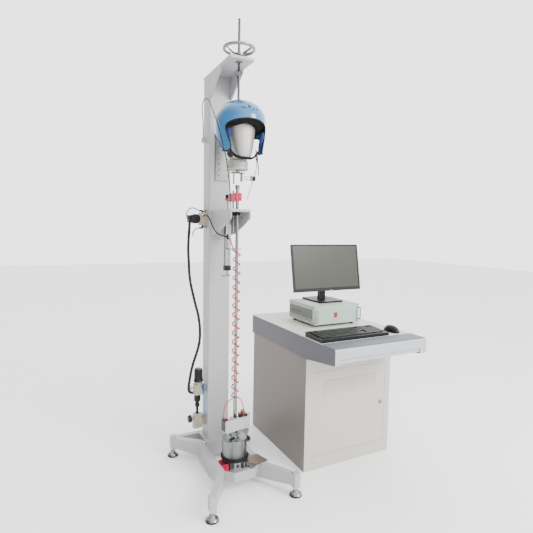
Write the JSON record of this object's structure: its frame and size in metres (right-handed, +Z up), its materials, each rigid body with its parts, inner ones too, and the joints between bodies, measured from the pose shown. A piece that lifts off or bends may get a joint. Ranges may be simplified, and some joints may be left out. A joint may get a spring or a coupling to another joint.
{
  "type": "helmet retention tester",
  "caption": "Column test stand with a headform hung from a hand-wheel spindle, a guided drop weight below it on a rod, and a separate control desk with screen and keyboard.",
  "frame": {"origin": "middle of the footprint of stand and desk, on the floor", "axes": "+Z up, machine and desk front towards -Y, the desk stands on the +X side"},
  "size_m": [1.203, 0.912, 2.306],
  "materials": {
    "white_paint": "satin white powder coat",
    "cream_paint": "satin light beige coat",
    "desk_plastic": "fine textured moulding",
    "foot_rubber": "black moulded",
    "chrome_steel": "hard chrome",
    "cast_alloy": "polished",
    "red_anodised": "red anodised",
    "dark_anodised": "dark anodised",
    "plate_steel": "ground",
    "black_plastic": "fine grained black",
    "screen_plastic": "glossy bezel",
    "helmet_blue": "glossy sky blue",
    "liner_blue": "royal blue knit over foam",
    "strap_black": "woven webbing",
    "hose_black": "smooth",
    "hose_blue": "polyurethane tube",
    "hose_red": "polyurethane tube",
    "valve_brass": "cast",
    "case_green": "hammered gray green",
    "switch_red": "glossy"
  },
  "bodies": {
    "root": {"base_frame": "white_paint", "column": "white_paint", "top_arm": "white_paint", "adjustment_plate": "plate_steel", "guide_bracket": "white_paint", "guide_bushes": "black_plastic", "sensor_body": "cast_alloy", "sensor_cap": "black_plastic", "stop_plate": "plate_steel", "coil_hose": "hose_red", "air_valve": "valve_brass", "valve_coil": "black_plastic", "service_unit": "valve_brass", "cable_bundle": "hose_black", "air_lines": "hose_blue", "feed_hose": "hose_black", "sensor_cable": "hose_black", "cabinet": "cream_paint", "desktop": "desk_plastic", "instrument_case": "case_green", "monitor_stand": "black_plastic"},
    "foot_a": {"foot_front_left": "foot_rubber"},
    "foot_b": {"foot_front_right": "foot_rubber"},
    "foot_c": {"foot_rear_left": "foot_rubber"},
    "foot_d": {"foot_rear_right": "foot_rubber"},
    "wheel": {"hand_wheel": "chrome_steel"},
    "spindle": {"lift_spindle": "chrome_steel"},
    "head": {"hanger": "chrome_steel", "headform": "cast_alloy", "helmet_shell": "helmet_blue", "helmet_liner": "liner_blue", "chin_strap": "strap_black", "stirrup": "cast_alloy", "strap_cord": "hose_black"},
    "side_knob": {"stirrup_knob": "black_plastic"},
    "rod": {"guide_rod": "chrome_steel", "upper_clamp": "red_anodised", "tie_rods": "chrome_steel", "end_stop": "chrome_steel", "stop_clamp": "red_anodised"},
    "clamp_screw": {"clamp_knob": "black_plastic"},
    "weight": {"drop_weight": "chrome_steel", "weight_ring": "foot_rubber"},
    "gripper": {"carriage": "plate_steel", "gripper_cylinders": "dark_anodised", "carriage_hoses": "hose_red"},
    "left_jaw": {"jaw_left": "dark_anodised"},
    "right_jaw": {"jaw_right": "dark_anodised"},
    "pressure_knob": {"regulator_knob": "black_plastic"},
    "valve_knob": {"supply_knob": "black_plastic"},
    "door": {"cabinet_door": "cream_paint"},
    "lock": {"door_lock": "chrome_steel"},
    "tray": {"keyboard_tray": "desk_plastic"},
    "rocker": {"power_switch": "switch_red"},
    "screen": {"monitor": "screen_plastic"},
    "keyboard_case": {"keyboard": "black_plastic"},
    "keys": {"keyboard_keys": "black_plastic"},
    "mouse": {"mouse_body": "black_plastic"},
    "mouse_keys": {"mouse_buttons": "black_plastic"},
    "scroll_wheel": {"mouse_wheel": "black_plastic"}
  },
  "joints": [
    {"name": "hand_wheel_turn", "type": "hinge", "parent": "root", "child": "wheel", "pos_m": [-0.3425, -0.083, 2.165], "axis": [0, 0, 1], "range_deg": [-2700, 720]},
    {"name": "spindle_lift", "type": "slide", "parent": "root", "child": "spindle", "axis": [0, 0, 1], "range_m": [-0.0301, 0.0081]},
    {"name": "head_swing", "type": "hinge", "parent": "spindle", "child": "head", "pos_m": [-0.3425, -0.083, 2.06905], "axis": [1, 0, 0], "range_deg": [-4, 4]},
    {"name": "side_knob_turn", "type": "hinge", "parent": "head", "child": "side_knob", "pos_m": [-0.2557, -0.083, 1.555], "axis": [1, 0, 0], "range_deg": [-180, 180]},
    {"name": "rod_drop", "type": "slide", "parent": "root", "child": "rod", "axis": [0, 0, 1], "range_m": [-0.03, 0]},
    {"name": "clamp_knob_turn", "type": "hinge", "parent": "rod", "child": "clamp_screw", "pos_m": [-0.3425, 0.044, 1.468], "axis": [0, 0, 1], "range_deg": [-180, 180]},
    {"name": "weight_lift", "type": "slide", "parent": "root", "child": "weight", "axis": [0, 0, 1], "range_m": [0, 0.4]},
    {"name": "gripper_lift", "type": "slide", "parent": "root", "child": "gripper", "axis": [0, 0, 1], "range_m": [0, 0.4], "deforming": ["coil_hose"]},
    {"name": "right_jaw_open", "type": "slide", "parent": "gripper", "child": "right_jaw", "axis": [0.9903, 0.1392, 0], "range_m": [0, 0.01]},
    {"name": "left_jaw_open", "type": "slide", "parent": "gripper", "child": "left_jaw", "axis": [-0.9903, -0.1392, 0], "range_m": [0, 0.01]},
    {"name": "pressure_knob_turn", "type": "hinge", "parent": "root", "child": "pressure_knob", "pos_m": [-0.4465, 0.202, 0.48], "axis": [0, 0, 1], "range_deg": [-150, 150]},
    {"name": "valve_knob_turn", "type": "hinge", "parent": "root", "child": "valve_knob", "pos_m": [-0.496, 0.202, 0.234], "axis": [1, 0, 0], "range_deg": [0, 90]},
    {"name": "door_swing", "type": "hinge", "parent": "root", "child": "door", "pos_m": [0.0608, -0.196, 0.31], "axis": [0, 0, -1], "range_deg": [0, 105]},
    {"name": "lock_turn", "type": "hinge", "parent": "door", "child": "lock", "pos_m": [0.5335, -0.196, 0.307], "axis": [0, 1, 0], "range_deg": [0, 90]},
    {"name": "tray_slide", "type": "slide", "parent": "root", "child": "tray", "axis": [0, -1, 0], "range_m": [0, 0.2]},
    {"name": "rocker_tip", "type": "hinge", "parent": "root", "child": "rocker", "pos_m": [0.3155, -0.029, 0.808], "axis": [-1, 0, 0], "range_deg": [0, 8]},
    {"name": "screen_tilt", "type": "hinge", "parent": "root", "child": "screen", "pos_m": [0.3435, 0.16139, 1.06605], "axis": [1, 0, 0], "range_deg": [-10, 8]},
    {"name": "keyboard_lift", "type": "slide", "parent": "root", "child": "keyboard_case", "axis": [0, 0, 1], "range_m": [0, 0.08]},
    {"name": "keys_press", "type": "slide", "parent": "keyboard_case", "child": "keys", "axis": [0, 0, -1], "range_m": [0, 0.003], "stiffness_N_per_m": 3000, "springref_m": -0.004},
    {"name": "mouse_lift", "type": "slide", "parent": "root", "child": "mouse", "axis": [0, 0, 1], "range_m": [0, 0.08]},
    {"name": "mouse_click", "type": "hinge", "parent": "mouse", "child": "mouse_keys", "pos_m": [0.5255, -0.269, 0.765], "axis": [-1, 0, 0], "range_deg": [0, 0.8], "stiffness_Nm_per_rad": 0.3, "springref_deg": -2.86},
    {"name": "scroll_turn", "type": "hinge", "parent": "mouse", "child": "scroll_wheel", "pos_m": [0.5255, -0.247, 0.769], "axis": [1, 0, 0], "continuous": true},
    {"name": "foot_turn_front_left", "type": "hinge", "parent": "root", "child": "foot_a", "pos_m": [-0.5595, -0.346, 0.02], "axis": [0, 0, 1], "range_deg": [-180, 180]},
    {"name": "foot_turn_front_right", "type": "hinge", "parent": "root", "child": "foot_b", "pos_m": [-0.1255, -0.346, 0.02], "axis": [0, 0, 1], "range_deg": [-180, 180]},
    {"name": "foot_turn_rear_left", "type": "hinge", "parent": "root", "child": "foot_c", "pos_m": [-0.5705, 0.279, 0.02], "axis": [0, 0, 1], "range_deg": [-180, 180]},
    {"name": "foot_turn_rear_right", "type": "hinge", "parent": "root", "child": "foot_d", "pos_m": [-0.1145, 0.279, 0.02], "axis": [0, 0, 1], "range_deg": [-180, 180]}
  ],
  "couplings": [
    {"joint": "spindle_lift", "follows": "hand_wheel_turn", "m_per_rad": 0.00063662},
    {"joint": "gripper_lift", "follows": "weight_lift", "ratio": 1},
    {"joint": "left_jaw_open", "follows": "right_jaw_open", "ratio": 1}
  ]
}
